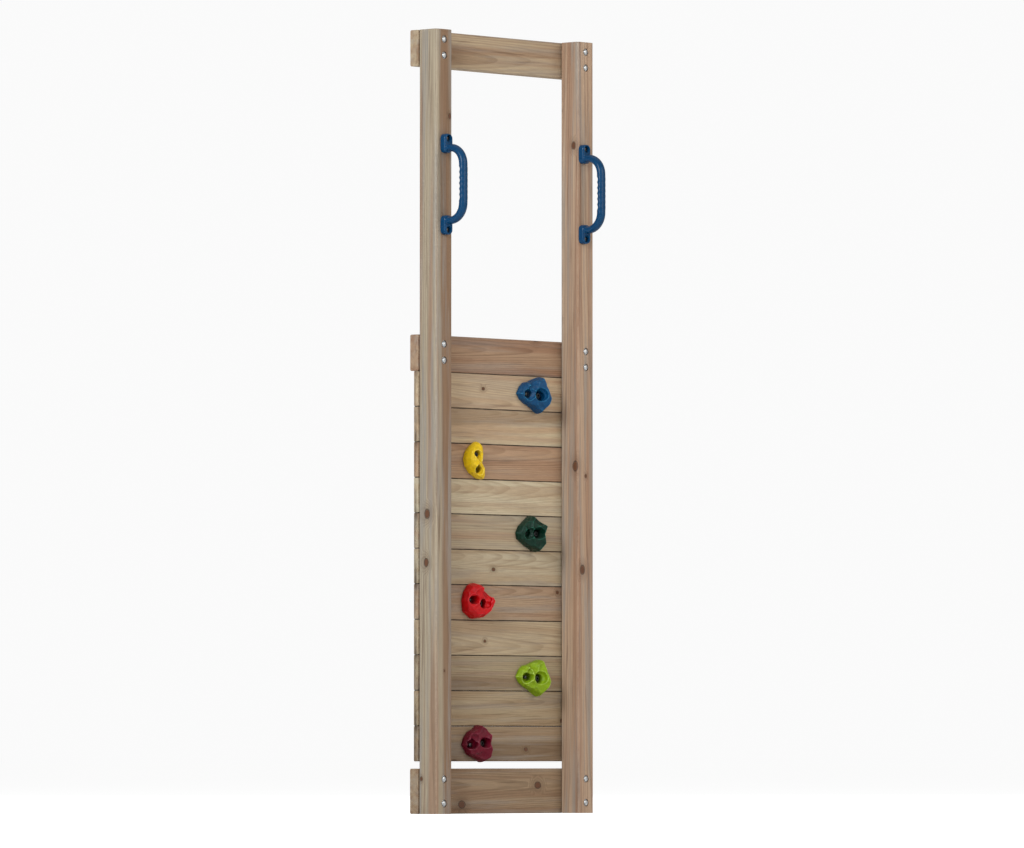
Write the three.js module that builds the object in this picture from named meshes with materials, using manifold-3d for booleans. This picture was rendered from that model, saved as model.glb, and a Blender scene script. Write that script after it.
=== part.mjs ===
// Climbing wall bay for a wooden play tower: two posts, three bolted rails, eleven cross boards,
// six moulded holds that are each bolted and pinned so they cannot turn, and two grab handles
// beside the climb-through opening above the deck.
//
// Millimetres, +Z up. +X runs to the climber's right and the climbing face looks towards -Y.
// The origin is on the ground, in the middle of the wall's width and of its whole depth.

import * as THREE from "three";
import Module from "manifold-3d";
import { mergeVertices } from "three/addons/utils/BufferGeometryUtils.js";

// ---- driving dimensions -------------------------------------------------------------------

const clearWidth = 464; // between the posts
const postSide = 60;
const postEdgeRadius = 8;

const baseRailHeight = 112;
const footGap = 18; // between the base rail and the lowest board
const boardCount = 11;
const boardHeight = 87.2;
const boardThickness = 15;
const boardJoint = 0.5; // open joint between one board and the next
const boardEdgeRadius = 3;
const deckRailHeight = 90;
const openingHeight = 665; // climb-through opening, deck rail to head rail
const headRailHeight = 90;
const railThickness = 28;
const railEdgeRadius = 4;

const frameBoltDiameter = 8;
const frameBoltHeadDiameter = 14;
const frameBoltHeadHeight = 4.4;
const frameWasherDiameter = 17;
const frameWasherThickness = 1.6;
const frameCounterboreDepth = 4;
const frameNutAcross = 13;
const frameNutHeight = 6.5;
const frameThreadPastNut = 2.5;
const railBoltSpacing = 40; // between the two bolts at each end of the deck and head rails
const baseBoltSpacing = 60;

const holdBoltDiameter = 8;
const holdBoltHeadDiameter = 13;
const holdBoltHeadHeight = 8;
const holdBoltSeat = 14; // plastic under the bolt head
const holdBoltPastNut = 3;
const holdBoltRecess = 18;
const teeNutBarrelDiameter = 11;
const teeNutBarrelLength = 9;
const teeNutFlangeDiameter = 22;
const teeNutFlangeThickness = 1.5;
// A wood screw's seat is the plastic under its head, and its bite is how far it runs into the wood.
const pinScrew = { diameter: 5, headDiameter: 10, headHeight: 3.2, seat: 10, bite: 12 };
const pinScrewRecess = 15;

const handleLength = 250;
const handleReach = 63; // post face to the middle of the grip
const handleBelowPostTop = 385; // post top to the middle of the handle
const gripWidth = 24;
const gripDepth = 19;
const gripCornerRadius = 42;
const gripRootInset = 35; // end of the handle to the middle of the grip's root
const footWidth = 30;
const footLength = 48;
const footThickness = 16;
const footEdgeBevel = 3;
const leftHandleShift = 0; // sideways from the middle of the post, + is to the right
const rightHandleShift = -13;
const scallopCount = 6;
const scallopPitch = 15;
const scallopRadius = 11;
const scallopDepth = 2;
const handleScrew = { diameter: 6, headDiameter: 12, headHeight: 4, seat: 8, bite: 38 };
const handleScrewRecess = 15;
const handleScrewInset = 12; // end of the handle to its screw

const fitGap = 0.3; // all round a bolt, barrel or screw in its hole
const socketAcross = 5; // hexagon socket in a bolt head
const socketDepth = 2.4;

// ---- places worked out from them ----------------------------------------------------------
// Depth is first counted from the plane where the boards meet the backs of the posts.

const postCentreX = (clearWidth + postSide) / 2;
const wallWidth = clearWidth + 2 * postSide;
const boardPitch = boardHeight + boardJoint;
const boardsBottom = baseRailHeight + footGap;
const deckRailBottom = boardsBottom + boardCount * boardPitch;
const openingBottom = deckRailBottom + deckRailHeight;
const headRailBottom = openingBottom + openingHeight;
const postHeight = headRailBottom + headRailHeight;
const postFace = -postSide;
const handleZ = postHeight - handleBelowPostTop;
const frontExtreme = postFace - handleReach - gripDepth / 2;
const backExtreme = railThickness + frameWasherThickness + frameNutHeight + frameThreadPastNut;
const depthShift = -(frontExtreme + backExtreme) / 2;

// ---- materials ----------------------------------------------------------------------------

const paint = (color, roughness, metalness) => new THREE.MeshStandardMaterial({ color, roughness, metalness });
const postWood = paint(0xb79a7c, 0.8, 0);
const railWood = paint(0xa9836a, 0.82, 0);
const boardWood = paint(0xae9474, 0.84, 0);
const zinc = paint(0xaeb2b0, 0.35, 0.9);
const handlePlastic = paint(0x064a7c, 0.45, 0);
const holdPlastic = (color) => paint(color, 0.6, 0);

// ---- solids -------------------------------------------------------------------------------

const wasm = await Module();
wasm.setup();

function solid(geometry) {
  const bare = geometry.clone();
  bare.deleteAttribute("normal");
  bare.deleteAttribute("uv");
  const merged = mergeVertices(bare, 1e-4);
  const mesh = new wasm.Mesh({
    numProp: 3,
    vertProperties: new Float32Array(merged.attributes.position.array),
    triVerts: new Uint32Array(merged.index.array),
  });
  return new wasm.Manifold(mesh);
}

function geometryOf(body) {
  const mesh = body.getMesh();
  const geometry = new THREE.BufferGeometry();
  geometry.setAttribute("position", new THREE.BufferAttribute(mesh.vertProperties, 3));
  geometry.setIndex(new THREE.BufferAttribute(mesh.triVerts, 1));
  return geometry;
}

const cutAll = (body, cutters) => cutters.reduce((rest, cutter) => rest.subtract(cutter), body);

// A round bar along the depth (Y) axis at (x, z), from one depth to another.
function bar(x, z, diameter, fromY, toY, sides = 12) {
  const geometry = new THREE.CylinderGeometry(diameter / 2, diameter / 2, toY - fromY, sides);
  geometry.translate(x, (fromY + toY) / 2, z);
  return solid(geometry);
}

// A turned piece on the depth axis at (x, z); its profile is a list of [radius, depth] from the
// back to the front and starts and ends on the axis, or closes on itself.
function turned(x, z, profile, sides = 10) {
  const points = profile.map(([radius, depth]) => new THREE.Vector2(radius, -depth));
  const geometry = new THREE.LatheGeometry(points, sides);
  geometry.rotateX(Math.PI);
  geometry.translate(x, 0, z);
  return solid(geometry);
}

// A rectangle with rounded corners, centred on (0, 0).
function roundedRectangle(width, height, radius) {
  const x = width / 2 - radius;
  const y = height / 2 - radius;
  const shape = new THREE.Shape();
  shape.absarc(x, y, radius, 0, Math.PI / 2);
  shape.absarc(-x, y, radius, Math.PI / 2, Math.PI);
  shape.absarc(-x, -y, radius, Math.PI, 1.5 * Math.PI);
  shape.absarc(x, -y, radius, 1.5 * Math.PI, 2 * Math.PI);
  return shape;
}

// A post standing on the ground.
function upright(side, height, radius) {
  const outline = roundedRectangle(side, side, radius);
  return new THREE.ExtrudeGeometry(outline, { depth: height, bevelEnabled: false, curveSegments: 3 });
}

// A rail or board lying across the wall, its section rounded along all four long edges and its
// front face on depth 0.
function plank(thickness, height, radius, bottom) {
  const outline = roundedRectangle(thickness, height, radius);
  const geometry = new THREE.ExtrudeGeometry(outline, {
    depth: wallWidth,
    bevelEnabled: false,
    curveSegments: 3,
  });
  geometry.rotateX(Math.PI / 2);
  geometry.rotateZ(Math.PI / 2);
  geometry.translate(-wallWidth / 2, thickness / 2, bottom + height / 2);
  return geometry;
}

// ---- the assembly -------------------------------------------------------------------------

const wall = new THREE.Group();
wall.name = "climbing_wall";
wall.position.y = depthShift;

function add(name, geometry, material) {
  const mesh = new THREE.Mesh(geometry, material);
  mesh.name = name;
  wall.add(mesh);
}

// ---- frame bolts --------------------------------------------------------------------------

const railBolts = [
  { rail: "base", middle: baseRailHeight / 2, spacing: baseBoltSpacing },
  { rail: "deck", middle: deckRailBottom + deckRailHeight / 2, spacing: railBoltSpacing },
  { rail: "head", middle: headRailBottom + headRailHeight / 2, spacing: railBoltSpacing },
];
const frameBolts = railBolts.flatMap(({ rail, middle, spacing }) =>
  [-1, 1].flatMap((side) =>
    [-1, 1].map((step) => ({
      name: `${rail}_bolt_${side < 0 ? "left" : "right"}_${step < 0 ? "lower" : "upper"}`,
      rail,
      side,
      x: side * postCentreX,
      z: middle + (step * spacing) / 2,
    }))
  )
);

// A domed bolt with a washer under its head, and the washer and hexagon nut behind the rail.
function frameBolt({ x, z }) {
  const seat = postFace + frameCounterboreDepth;
  const washerTop = seat - frameWasherThickness;
  const headTop = washerTop - frameBoltHeadHeight;
  const shank = frameBoltDiameter / 2;
  const washer = frameWasherDiameter / 2;
  const head = frameBoltHeadDiameter / 2;
  const backWasher = railThickness + frameWasherThickness;
  const body = turned(x, z, [
    [0, backExtreme],
    [shank, backExtreme],
    [shank, backWasher],
    [washer, backWasher],
    [washer, railThickness],
    [shank, railThickness],
    [shank, seat],
    [washer, seat],
    [washer, washerTop],
    [head, washerTop],
    [head * 0.82, headTop + frameBoltHeadHeight * 0.35],
    [head * 0.5, headTop + frameBoltHeadHeight * 0.06],
    [0, headTop],
  ]);
  const nutDiameter = frameNutAcross / Math.cos(Math.PI / 6);
  const insideWasher = railThickness + frameWasherThickness / 2;
  const nut = bar(x, z, nutDiameter, insideWasher, backWasher + frameNutHeight, 6);
  const socketDiameter = socketAcross / Math.cos(Math.PI / 6);
  const socket = bar(x, z, socketDiameter, headTop - 1, headTop + socketDepth, 6);
  return body.add(nut).subtract(socket);
}

// ---- handles ------------------------------------------------------------------------------

const handles = [
  { name: "handle_left", x: -postCentreX + leftHandleShift },
  { name: "handle_right", x: postCentreX + rightHandleShift },
];
const handleScrews = handles.flatMap(({ name, x }) =>
  [-1, 1].map((end) => ({
    name: `${name}_screw_${end < 0 ? "lower" : "upper"}`,
    x,
    z: handleZ + end * (handleLength / 2 - handleScrewInset),
  }))
);

// The grip leaves each foot square to the post, turns through a round corner and runs upright.
function gripPath() {
  const rootZ = handleLength / 2 - gripRootInset;
  const path = new THREE.CurvePath();
  const at = (depth, height) => new THREE.Vector3(0, -depth, height);
  const corner = handleReach - gripCornerRadius;
  path.add(new THREE.LineCurve3(at(footThickness / 2, -rootZ), at(corner, -rootZ)));
  path.add(
    new THREE.QuadraticBezierCurve3(
      at(corner, -rootZ),
      at(handleReach, -rootZ),
      at(handleReach, -rootZ + gripCornerRadius)
    )
  );
  const straight = rootZ - gripCornerRadius;
  path.add(new THREE.LineCurve3(at(handleReach, -straight), at(handleReach, straight)));
  path.add(
    new THREE.QuadraticBezierCurve3(at(handleReach, straight), at(handleReach, rootZ), at(corner, rootZ))
  );
  path.add(new THREE.LineCurve3(at(corner, rootZ), at(footThickness / 2, rootZ)));
  return path;
}

function grip() {
  const section = new THREE.Shape();
  section.absellipse(0, 0, gripDepth / 2, gripWidth / 2, 0, 2 * Math.PI);
  return solid(
    new THREE.ExtrudeGeometry(section, {
      steps: 26,
      curveSegments: 5,
      extrudePath: gripPath(),
      bevelEnabled: false,
    })
  );
}

// A foot: a round-ended block with softened front edges, flat against the post.
function foot(end) {
  const outline = roundedRectangle(
    footWidth - 2 * footEdgeBevel,
    footLength - 2 * footEdgeBevel,
    footWidth / 2 - footEdgeBevel - 1
  );
  const geometry = new THREE.ExtrudeGeometry(outline, {
    depth: footThickness,
    bevelThickness: footEdgeBevel,
    bevelSize: footEdgeBevel,
    bevelSegments: 1,
    curveSegments: 3,
  });
  geometry.rotateX(Math.PI / 2);
  geometry.translate(0, footEdgeBevel, end * (handleLength / 2 - footLength / 2));
  const block = solid(geometry);
  const behindPostFace = new THREE.BoxGeometry(2 * footWidth, 2 * footThickness, 2 * handleLength);
  behindPostFace.translate(0, footThickness, 0);
  return block.subtract(solid(behindPostFace));
}

function handle() {
  const body = grip().add(foot(-1)).add(foot(1));
  const cutters = [];
  for (let i = 0; i < scallopCount; i += 1) {
    const z = (i - (scallopCount - 1) / 2) * scallopPitch;
    const innerSide = -handleReach + gripDepth / 2;
    const scallop = new THREE.CylinderGeometry(scallopRadius, scallopRadius, 2 * gripWidth, 14);
    scallop.rotateZ(Math.PI / 2);
    scallop.translate(0, innerSide + scallopRadius - scallopDepth, z);
    cutters.push(solid(scallop));
  }
  for (const end of [-1, 1]) {
    const z = end * (handleLength / 2 - handleScrewInset);
    cutters.push(bar(0, z, handleScrew.diameter + 2 * fitGap, -footThickness, 1));
    cutters.push(bar(0, z, handleScrewRecess, -2 * footThickness, -handleScrew.seat));
  }
  return cutAll(body, cutters);
}

// ---- holds --------------------------------------------------------------------------------
// A stone is described by spokes round its middle: [angle in degrees, reach of its side,
// reach of its crest, height of its crest above the boards]. The middle dips or rises to `middle`.
// `board` counts down from the top board and `lift` is how far the stone sits above that board's
// middle. `bolt` and `pin` are its two fixings, measured from its own middle.

const angularSpokes = [
  [24, 37, 34, 43],
  [57, 57, 50, 32],
  [85, 40, 31, 30],
  [105, 36, 26, 25],
  [128, 41, 33, 28],
  [150, 44, 31, 25],
  [175, 49, 32, 24],
  [195, 40, 26, 24],
  [226, 30, 20, 27],
  [262, 29, 19, 30],
  [300, 53, 43, 29],
  [327, 45, 40, 44],
  [347, 42, 36, 49],
];

const stones = [
  {
    name: "hold_blue",
    color: 0x0f5590,
    x: 113,
    board: 1,
    lift: -5,
    middle: 33,
    bolt: [12, 0],
    pin: [-20, 3],
    spokes: angularSpokes,
  },
  {
    name: "hold_yellow",
    color: 0xe1c13a,
    x: -99,
    board: 3,
    lift: 3,
    middle: 35,
    bolt: [-6, 12],
    pin: [3, -22],
    spokes: [
      [10, 20, 12, 30],
      [40, 30, 21, 26],
      [60, 46, 36, 23],
      [80, 48, 38, 26],
      [105, 38, 28, 30],
      [140, 34, 23, 34],
      [175, 33, 22, 36],
      [206, 32, 22, 36],
      [250, 35, 24, 33],
      [285, 47, 36, 28],
      [303, 57, 47, 23],
      [318, 42, 32, 25],
      [340, 22, 14, 29],
    ],
  },
  {
    name: "hold_dark_green",
    color: 0x1d4a3e,
    x: 103,
    board: 5,
    lift: -1,
    middle: 33,
    bolt: [14, 0],
    pin: [-16, 1],
    spokes: [
      [0, 34, 27, 43],
      [32, 41, 36, 48],
      [62, 40, 34, 40],
      [82, 47, 41, 28],
      [105, 37, 28, 31],
      [149, 37, 27, 28],
      [178, 42, 28, 25],
      [200, 40, 28, 25],
      [229, 32, 22, 27],
      [264, 34, 26, 30],
      [299, 53, 45, 33],
      [322, 45, 39, 43],
    ],
  },
  {
    name: "hold_red",
    color: 0xc01730,
    x: -97,
    board: 7,
    lift: 4,
    middle: 34,
    bolt: [8, -7],
    pin: [-17, 2],
    spokes: [
      [0, 39, 34, 51],
      [34, 35, 30, 45],
      [63, 35, 27, 38],
      [80, 42, 33, 38],
      [97, 45, 34, 36],
      [117, 44, 32, 34],
      [146, 41, 28, 32],
      [180, 41, 28, 30],
      [217, 46, 32, 30],
      [258, 46, 35, 33],
      [292, 46, 37, 36],
      [320, 41, 36, 44],
    ],
  },
  {
    name: "hold_lime",
    color: 0x87a62c,
    x: 110,
    board: 9,
    lift: -12,
    middle: 33,
    bolt: [12, 0],
    pin: [-20, 3],
    spokes: angularSpokes,
  },
  {
    name: "hold_maroon",
    color: 0x6f2439,
    x: -94,
    board: 11,
    lift: 0,
    middle: 32,
    bolt: [12, 1],
    pin: [-20, -3],
    spokes: [
      [0, 33, 25, 41],
      [40, 37, 32, 46],
      [63, 45, 39, 38],
      [79, 48, 42, 32],
      [99, 37, 28, 30],
      [126, 38, 28, 28],
      [157, 40, 28, 28],
      [184, 44, 30, 26],
      [226, 38, 26, 26],
      [259, 35, 24, 28],
      [293, 51, 43, 29],
      [310, 50, 44, 38],
      [335, 37, 31, 45],
    ],
  },
].map((stone) => ({
  ...stone,
  z: boardsBottom + (boardCount - stone.board) * boardPitch + boardHeight / 2 + stone.lift,
}));

// Rings of the stone from the boards to the top, each [share of the way in from the side's
// reach to the crest's reach, share of the crest's height].
const stoneRings = [
  [0.06, 0],
  [0, 0.3],
  [0.3, 0.72],
  [1, 1],
];
const dishReach = 0.5; // inner ring, as a share of the crest's reach
const dishBlend = 0.6; // how far the inner ring has gone from the crest's height to the middle's

function stoneGeometry({ spokes, middle }) {
  const positions = [];
  const count = spokes.length;
  const push = (angle, radius, height) => {
    const turn = THREE.MathUtils.degToRad(angle);
    positions.push(radius * Math.cos(turn), -height, radius * Math.sin(turn));
  };
  for (const [inward, rise] of stoneRings) {
    for (const [angle, side, crest, height] of spokes) {
      push(angle, THREE.MathUtils.lerp(side, crest, inward), height * rise);
    }
  }
  for (const [angle, , crest, height] of spokes) {
    push(angle, crest * dishReach, THREE.MathUtils.lerp(height, middle, dishBlend));
  }
  push(0, 0, middle);
  push(0, 0, 0);
  const rings = stoneRings.length + 1;
  const top = rings * count;
  const bottom = top + 1;
  const index = [];
  for (let i = 0; i < count; i += 1) {
    const next = (i + 1) % count;
    for (let ring = 0; ring + 1 < rings; ring += 1) {
      const a = ring * count + i;
      const b = ring * count + next;
      index.push(a, b, b + count, a, b + count, a + count);
    }
    index.push(top - count + i, top - count + next, top);
    index.push(next, i, bottom);
  }
  const geometry = new THREE.BufferGeometry();
  geometry.setAttribute("position", new THREE.Float32BufferAttribute(positions, 3));
  geometry.setIndex(index);
  return geometry;
}

function hold(stone) {
  const tallest = Math.max(...stone.spokes.map(([, , , height]) => height));
  const above = -tallest - 1;
  const [boltX, boltZ] = stone.bolt;
  const [pinX, pinZ] = stone.pin;
  const body = cutAll(solid(stoneGeometry(stone)), [
    bar(boltX, boltZ, holdBoltRecess, above, -holdBoltSeat, 14),
    bar(boltX, boltZ, holdBoltDiameter + 2 * fitGap, above, 1),
    bar(pinX, pinZ, pinScrewRecess, above, -pinScrew.seat, 14),
    bar(pinX, pinZ, pinScrew.diameter + 2 * fitGap, above, 1),
  ]);
  return geometryOf(body).translate(stone.x, 0, stone.z);
}

const fixingAt = (stone, [x, z]) => ({ x: stone.x + x, z: stone.z + z });

// A cap-head bolt with a hexagon socket; it runs through the stone, the board and the tee nut.
function holdBolt({ x, z }) {
  const shank = holdBoltDiameter / 2;
  const head = holdBoltHeadDiameter / 2;
  const tip = boardThickness + teeNutFlangeThickness + holdBoltPastNut;
  const headTop = -holdBoltSeat - holdBoltHeadHeight;
  const body = turned(x, z, [
    [0, tip],
    [shank - 1, tip],
    [shank, tip - 1],
    [shank, -holdBoltSeat],
    [head, -holdBoltSeat],
    [head, headTop + 0.8],
    [head - 0.8, headTop],
    [0, headTop],
  ]);
  const socketDiameter = (socketAcross + 1) / Math.cos(Math.PI / 6);
  return body.subtract(bar(x, z, socketDiameter, headTop - 1, headTop + holdBoltHeadHeight / 2, 6));
}

function teeNut({ x, z }) {
  const bore = holdBoltDiameter / 2 + fitGap;
  const barrel = teeNutBarrelDiameter / 2;
  const flange = teeNutFlangeDiameter / 2;
  const back = boardThickness + teeNutFlangeThickness;
  return turned(x, z, [
    [bore, back],
    [flange, back],
    [flange, boardThickness],
    [barrel, boardThickness],
    [barrel, boardThickness - teeNutBarrelLength],
    [bore, boardThickness - teeNutBarrelLength],
    [bore, back],
  ]);
}

// A pan-head wood screw of the given size, driven into the wood whose face is at depth `face`.
function woodScrew({ x, z }, face, { diameter, headDiameter, headHeight, seat, bite }) {
  const shank = diameter / 2;
  const head = headDiameter / 2;
  const under = face - seat;
  const top = under - headHeight;
  const tip = face + bite;
  const body = turned(x, z, [
    [0, tip],
    [shank, tip - 2 * diameter],
    [shank, under],
    [head, under],
    [head, under - headHeight * 0.45],
    [head * 0.72, under - headHeight * 0.88],
    [0, top],
  ]);
  const socketDiameter = (diameter * 0.7) / Math.cos(Math.PI / 6);
  return body.subtract(bar(x, z, socketDiameter, top - 1, top + headHeight * 0.5, 6));
}

// ---- posts, rails and boards, with the holes their fixings need ----------------------------

const throughHole = ({ x, z }, diameter) => bar(x, z, diameter + 2 * fitGap, postFace - 1, railThickness + 1);

for (const [side, name] of [
  [-1, "left_post"],
  [1, "right_post"],
]) {
  const geometry = upright(postSide, postHeight, postEdgeRadius);
  geometry.translate(side * postCentreX, -postSide / 2, 0);
  const bolts = frameBolts.filter((bolt) => bolt.side === side);
  const screws = handleScrews.filter((screw) => Math.sign(screw.x) === side);
  const counterbore = frameWasherDiameter + 2;
  const cutters = [
    ...bolts.map((bolt) => throughHole(bolt, frameBoltDiameter)),
    ...bolts.map(({ x, z }) => bar(x, z, counterbore, postFace - 1, postFace + frameCounterboreDepth)),
    ...screws.map(({ x, z }) => {
      const pilot = handleScrew.diameter + 2 * fitGap;
      return bar(x, z, pilot, postFace - 1, postFace + handleScrew.bite + 1);
    }),
  ];
  add(name, geometryOf(cutAll(solid(geometry), cutters)), postWood);
}

for (const [rail, bottom, height] of [
  ["base", 0, baseRailHeight],
  ["deck", deckRailBottom, deckRailHeight],
  ["head", headRailBottom, headRailHeight],
]) {
  const bolts = frameBolts.filter((bolt) => bolt.rail === rail);
  const blank = solid(plank(railThickness, height, railEdgeRadius, bottom));
  const holes = bolts.map((bolt) => throughHole(bolt, frameBoltDiameter));
  add(`${rail}_rail`, geometryOf(cutAll(blank, holes)), railWood);
}

for (let number = 1; number <= boardCount; number += 1) {
  const bottom = boardsBottom + (boardCount - number) * boardPitch;
  const blank = solid(plank(boardThickness, boardHeight, boardEdgeRadius, bottom));
  const mounted = stones.filter((stone) => stone.board === number);
  const cutters = mounted.flatMap((stone) => {
    const bolt = fixingAt(stone, stone.bolt);
    const pin = fixingAt(stone, stone.pin);
    return [
      bar(bolt.x, bolt.z, teeNutBarrelDiameter + 2 * fitGap, -1, boardThickness + 1),
      bar(pin.x, pin.z, pinScrew.diameter + 2 * fitGap, -1, pinScrew.bite + 1),
    ];
  });
  const name = `climbing_board_${String(number).padStart(2, "0")}`;
  add(name, geometryOf(cutAll(blank, cutters)), boardWood);
}

// ---- fittings -----------------------------------------------------------------------------

for (const bolt of frameBolts) {
  add(bolt.name, geometryOf(frameBolt(bolt)), zinc);
}

for (const stone of stones) {
  const bolt = fixingAt(stone, stone.bolt);
  const pin = fixingAt(stone, stone.pin);
  add(stone.name, hold(stone), holdPlastic(stone.color));
  add(`${stone.name}_bolt`, geometryOf(holdBolt(bolt)), zinc);
  add(`${stone.name}_tee_nut`, geometryOf(teeNut(bolt)), zinc);
  add(`${stone.name}_pin_screw`, geometryOf(woodScrew(pin, 0, pinScrew)), zinc);
}

const handleGeometry = geometryOf(handle());
for (const { name, x } of handles) {
  add(name, handleGeometry.clone().translate(x, postFace, handleZ), handlePlastic);
}
for (const place of handleScrews) {
  add(place.name, geometryOf(woodScrew(place, postFace, handleScrew)), zinc);
}

export default wall;
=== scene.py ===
"""A rock climbing wall: two posts, three rails, eleven boards, six holds and two grab handles.

Lengths are in metres.
"""

import math
import random

import bmesh
import bpy
from mathutils import Euler, Matrix, Vector


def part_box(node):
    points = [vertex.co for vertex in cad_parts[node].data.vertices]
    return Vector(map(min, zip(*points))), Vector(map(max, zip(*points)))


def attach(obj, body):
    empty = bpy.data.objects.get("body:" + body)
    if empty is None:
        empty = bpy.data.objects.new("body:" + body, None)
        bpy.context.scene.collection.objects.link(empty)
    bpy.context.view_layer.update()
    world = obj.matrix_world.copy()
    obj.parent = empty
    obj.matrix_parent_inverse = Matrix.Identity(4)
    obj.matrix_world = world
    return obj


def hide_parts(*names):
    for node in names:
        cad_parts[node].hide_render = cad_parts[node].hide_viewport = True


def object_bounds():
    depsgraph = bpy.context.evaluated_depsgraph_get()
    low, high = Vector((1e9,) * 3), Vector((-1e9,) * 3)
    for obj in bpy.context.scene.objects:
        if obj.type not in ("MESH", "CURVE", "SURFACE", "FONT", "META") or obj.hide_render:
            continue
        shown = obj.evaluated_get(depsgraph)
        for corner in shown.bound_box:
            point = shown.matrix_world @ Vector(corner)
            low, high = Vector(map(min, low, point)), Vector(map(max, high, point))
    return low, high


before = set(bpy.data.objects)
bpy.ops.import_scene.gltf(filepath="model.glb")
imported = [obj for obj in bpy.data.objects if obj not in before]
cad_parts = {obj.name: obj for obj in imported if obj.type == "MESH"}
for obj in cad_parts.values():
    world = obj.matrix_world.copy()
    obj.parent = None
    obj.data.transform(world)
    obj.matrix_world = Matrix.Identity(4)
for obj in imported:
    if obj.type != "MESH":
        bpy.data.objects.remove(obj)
packed_low, packed_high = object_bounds()

MM = 0.001

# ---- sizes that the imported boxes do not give

POST_EDGE = 8 * MM
RAIL_EDGE = 4 * MM
BOARD_EDGE = 3 * MM
SAWN_END_EDGE = 0.8 * MM
BOARD_SWELL = 0.2 * MM
EDGE_STEPS = 5
TIMBER_CUTS = 15
BOARD_THICKNESS = 15 * MM
CUT_PAST = 5 * MM

WASHER_HOLE = 19 * MM
WASHER_HOLE_DEPTH = 4 * MM
WASHER = (17 * MM, 1.6 * MM)
DOME = (14 * MM, 4.4 * MM)
NUT = (13 * MM, 6.5 * MM)
FRAME_SHANK = 8 * MM
THREAD_PAST_NUT = 2.5 * MM
THREAD_PITCH = 1.25 * MM
STEP = 0.01 * MM

HOLD_HEAD = (13 * MM, 8 * MM)
HOLD_RECESS = 20 * MM
HOLD_SHANK = 8 * MM
TEE_FLANGE = (22 * MM, 1.5 * MM)
HOLD_THREAD = 22 * MM
HOLD_SOCKET = (6 * MM, 4 * MM)
TEE_BARREL = 11 * MM
TEE_SLOT = (1.1 * MM, 1.6 * MM, 4.2 * MM)
TEE_SLOT_REACH = 8.6 * MM
PIN_HEAD = (10 * MM, 3.2 * MM)
PIN_RECESS = 17 * MM
PIN_SHANK = 5 * MM
PIN_HOLE_SHORT = 4.5 * MM
HANDLE_HEAD = (12 * MM, 4 * MM)
HANDLE_RECESS = 15.4 * MM
HANDLE_SHANK = 6 * MM
HANDLE_HOLE = 40 * MM
BOARD_SCREW_HEAD = 8.4 * MM
BOARD_SCREW_SHANK = 4 * MM
BOARD_SCREW_BITE = 28 * MM
BOARD_SCREW_SOCKET = (3.6 * MM, 1.9 * MM)
SHANK_GAP = 0.6 * MM

HOLE_FLARE = 9 * MM
HOLE_LENGTH = 34 * MM
HOLD_CHIPS = 16
GRIP = (24 * MM, 19 * MM)
GRIP_REACH = 63 * MM
GRIP_CORNER = 42 * MM
GRIP_ROOT_INSET = 35 * MM
GRIP_SUNK = 4 * MM
GRIP_ROWS = 64
GRIP_BEND_ROWS = 12
FOOT = (30 * MM, 16 * MM, 48 * MM)
FOOT_CORNER = 12 * MM
FOOT_RIM = 5 * MM
SCALLOPS = 6
SCALLOP_PITCH = 14 * MM
SCALLOP_DEPTH = 3.2 * MM

WEAR_PATCH = 12 * MM
FLAT_CREASE = math.radians(38)
MOULDED_CREASE = math.radians(48)
WHITE = (1.0, 1.0, 1.0, 1.0)

BOARDS = [f"climbing_board_{number:02d}" for number in range(1, 12)]
COLOURS = ("blue", "yellow", "dark_green", "red", "lime", "maroon")
SIDES = ("left", "right")
LEVELS = ("lower", "upper")


# ---- bench tools


def clear_bench():
    """Leaves edit mode and lets go of everything, as an operator acts on all that is selected."""
    if bpy.context.object and bpy.context.object.mode != "OBJECT":
        bpy.ops.object.mode_set(mode="OBJECT")
    bpy.ops.object.select_all(action="DESELECT")


def pick_up(piece):
    clear_bench()
    piece.select_set(True)
    bpy.context.view_layer.objects.active = piece
    return piece


def settle(name):
    """Names the piece in hand and puts its place, turn and scale into its mesh."""
    piece = bpy.context.object
    piece.name = name
    piece.data.name = name
    bpy.ops.object.transform_apply(location=True, rotation=True, scale=True)
    return piece


def open_up(piece):
    """Takes a piece into edit mode with all of it selected."""
    pick_up(piece)
    bpy.ops.object.mode_set(mode="EDIT")
    bpy.ops.mesh.select_all(action="SELECT")


def close_up(piece):
    bpy.ops.object.mode_set(mode="OBJECT")
    return piece


def choose(piece, kind, test):
    """In edit mode, selects the vertices, edges or faces of a piece that pass a test."""
    bpy.ops.mesh.select_mode(type=kind)
    bpy.ops.mesh.select_all(action="DESELECT")
    mesh = bmesh.from_edit_mesh(piece.data)
    for part in {"VERT": mesh.verts, "EDGE": mesh.edges, "FACE": mesh.faces}[kind]:
        if test(part):
            part.select = True
    mesh.select_flush_mode()
    bmesh.update_edit_mesh(piece.data)


def round_off(piece, test, offset, segments):
    """In edit mode, rounds the edges of a piece that pass a test."""
    choose(piece, "EDGE", test)
    bpy.ops.mesh.bevel(offset=offset, segments=segments, profile=0.5, affect="EDGES")


def run_modifier(piece, kind, **settings):
    pick_up(piece)
    modifier = piece.modifiers.new(kind.lower(), kind)
    for key, value in settings.items():
        setattr(modifier, key, value)
    bpy.ops.object.modifier_apply(modifier=modifier.name)
    return piece


def combine(piece, other, operation):
    """Joins, cuts or intersects a piece with another, which is thrown away."""
    run_modifier(piece, "BOOLEAN", operation=operation, solver="EXACT", object=other)
    bpy.data.objects.remove(other)
    return piece


def cut(piece, *cutters):
    """Takes the cutters' shapes out of the piece and throws the cutters away."""
    for cutter in cutters:
        combine(piece, cutter, "DIFFERENCE")
    return piece


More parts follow.
